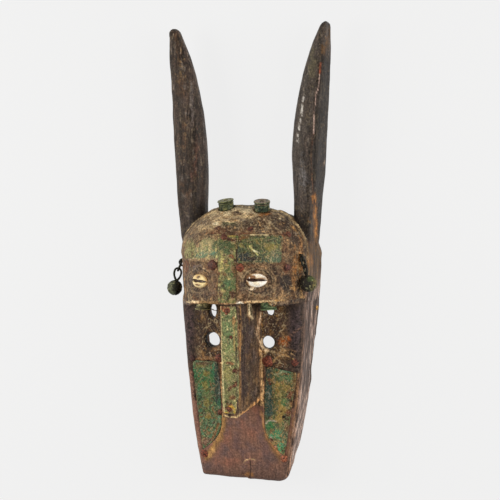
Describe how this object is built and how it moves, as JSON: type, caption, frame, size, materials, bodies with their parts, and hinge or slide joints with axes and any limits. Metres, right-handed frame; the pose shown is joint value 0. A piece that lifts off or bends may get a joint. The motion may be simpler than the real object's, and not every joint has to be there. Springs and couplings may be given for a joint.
{
  "type": "suruku mask",
  "caption": "Hollow carved wooden hyena mask with a long box muzzle, wedge nose, domed forehead and tall leaf-shaped ears, dressed with patinated sheet metal, nails, shell eyes and small bells.",
  "frame": {"origin": "centre of the bounding box in plan, on the plane of the flat back rim", "axes": "+X towards the right ear as seen from the front, +Y from the chin up to the ear tips, +Z out of the face"},
  "size_m": [0.2172, 0.5954, 0.1228],
  "materials": {
    "carved_wood": "dark crusted patina, worn matt",
    "forehead_metal": "olive verdigris over thin hammered sheet",
    "strip_metal": "pale olive verdigris with rust spots",
    "cheek_metal": "emerald green patina with golden speckles",
    "rusty_iron": "rusted, rough",
    "cartridge_brass": "dull green patina",
    "bell_metal": "dark corroded, green tinge",
    "cowrie_shell": "glossy ivory shell, worn",
    "pale_peg": "yellow-brown, matt"
  },
  "bodies": {
    "root": {"mask_body": "carved_wood", "forehead_band_left": "forehead_metal", "forehead_band_right": "forehead_metal", "forehead_strip": "strip_metal", "nose_strip": "strip_metal", "cheek_sheet_left": "cheek_metal", "cheek_sheet_right": "cheek_metal", "cowrie_eye_left": "cowrie_shell", "cowrie_eye_right": "cowrie_shell", "cartridge_crown_left": "cartridge_brass", "cartridge_crown_right": "cartridge_brass", "cartridge_brow_left": "cartridge_brass", "cartridge_brow_right": "cartridge_brass", "nail_crown_left": "rusty_iron", "nail_strip_top": "rusty_iron", "nail_crown_right": "rusty_iron", "nail_band_lower_left": "rusty_iron", "nail_band_lower_right": "rusty_iron", "nail_band_far_right_top": "rusty_iron", "nail_band_far_right_bottom": "rusty_iron", "nail_cheek_left_outer": "rusty_iron", "nail_cheek_left_inner": "rusty_iron", "nail_cheek_left_middle": "rusty_iron", "nail_cheek_left_bottom": "rusty_iron", "nail_cheek_right_inner": "rusty_iron", "nail_cheek_right_outer": "rusty_iron", "nail_cheek_right_bottom": "rusty_iron", "nail_nose_top": "rusty_iron", "nail_nose_upper": "rusty_iron", "nail_nose_middle": "rusty_iron", "nail_nose_lower": "rusty_iron", "nail_nose_bottom": "rusty_iron", "side_peg_right": "pale_peg", "bell_left": "bell_metal", "bell_left_link": "bell_metal", "bell_left_staple": "bell_metal", "bell_right": "bell_metal", "bell_right_link": "bell_metal", "bell_right_staple": "bell_metal"}
  },
  "joints": []
}
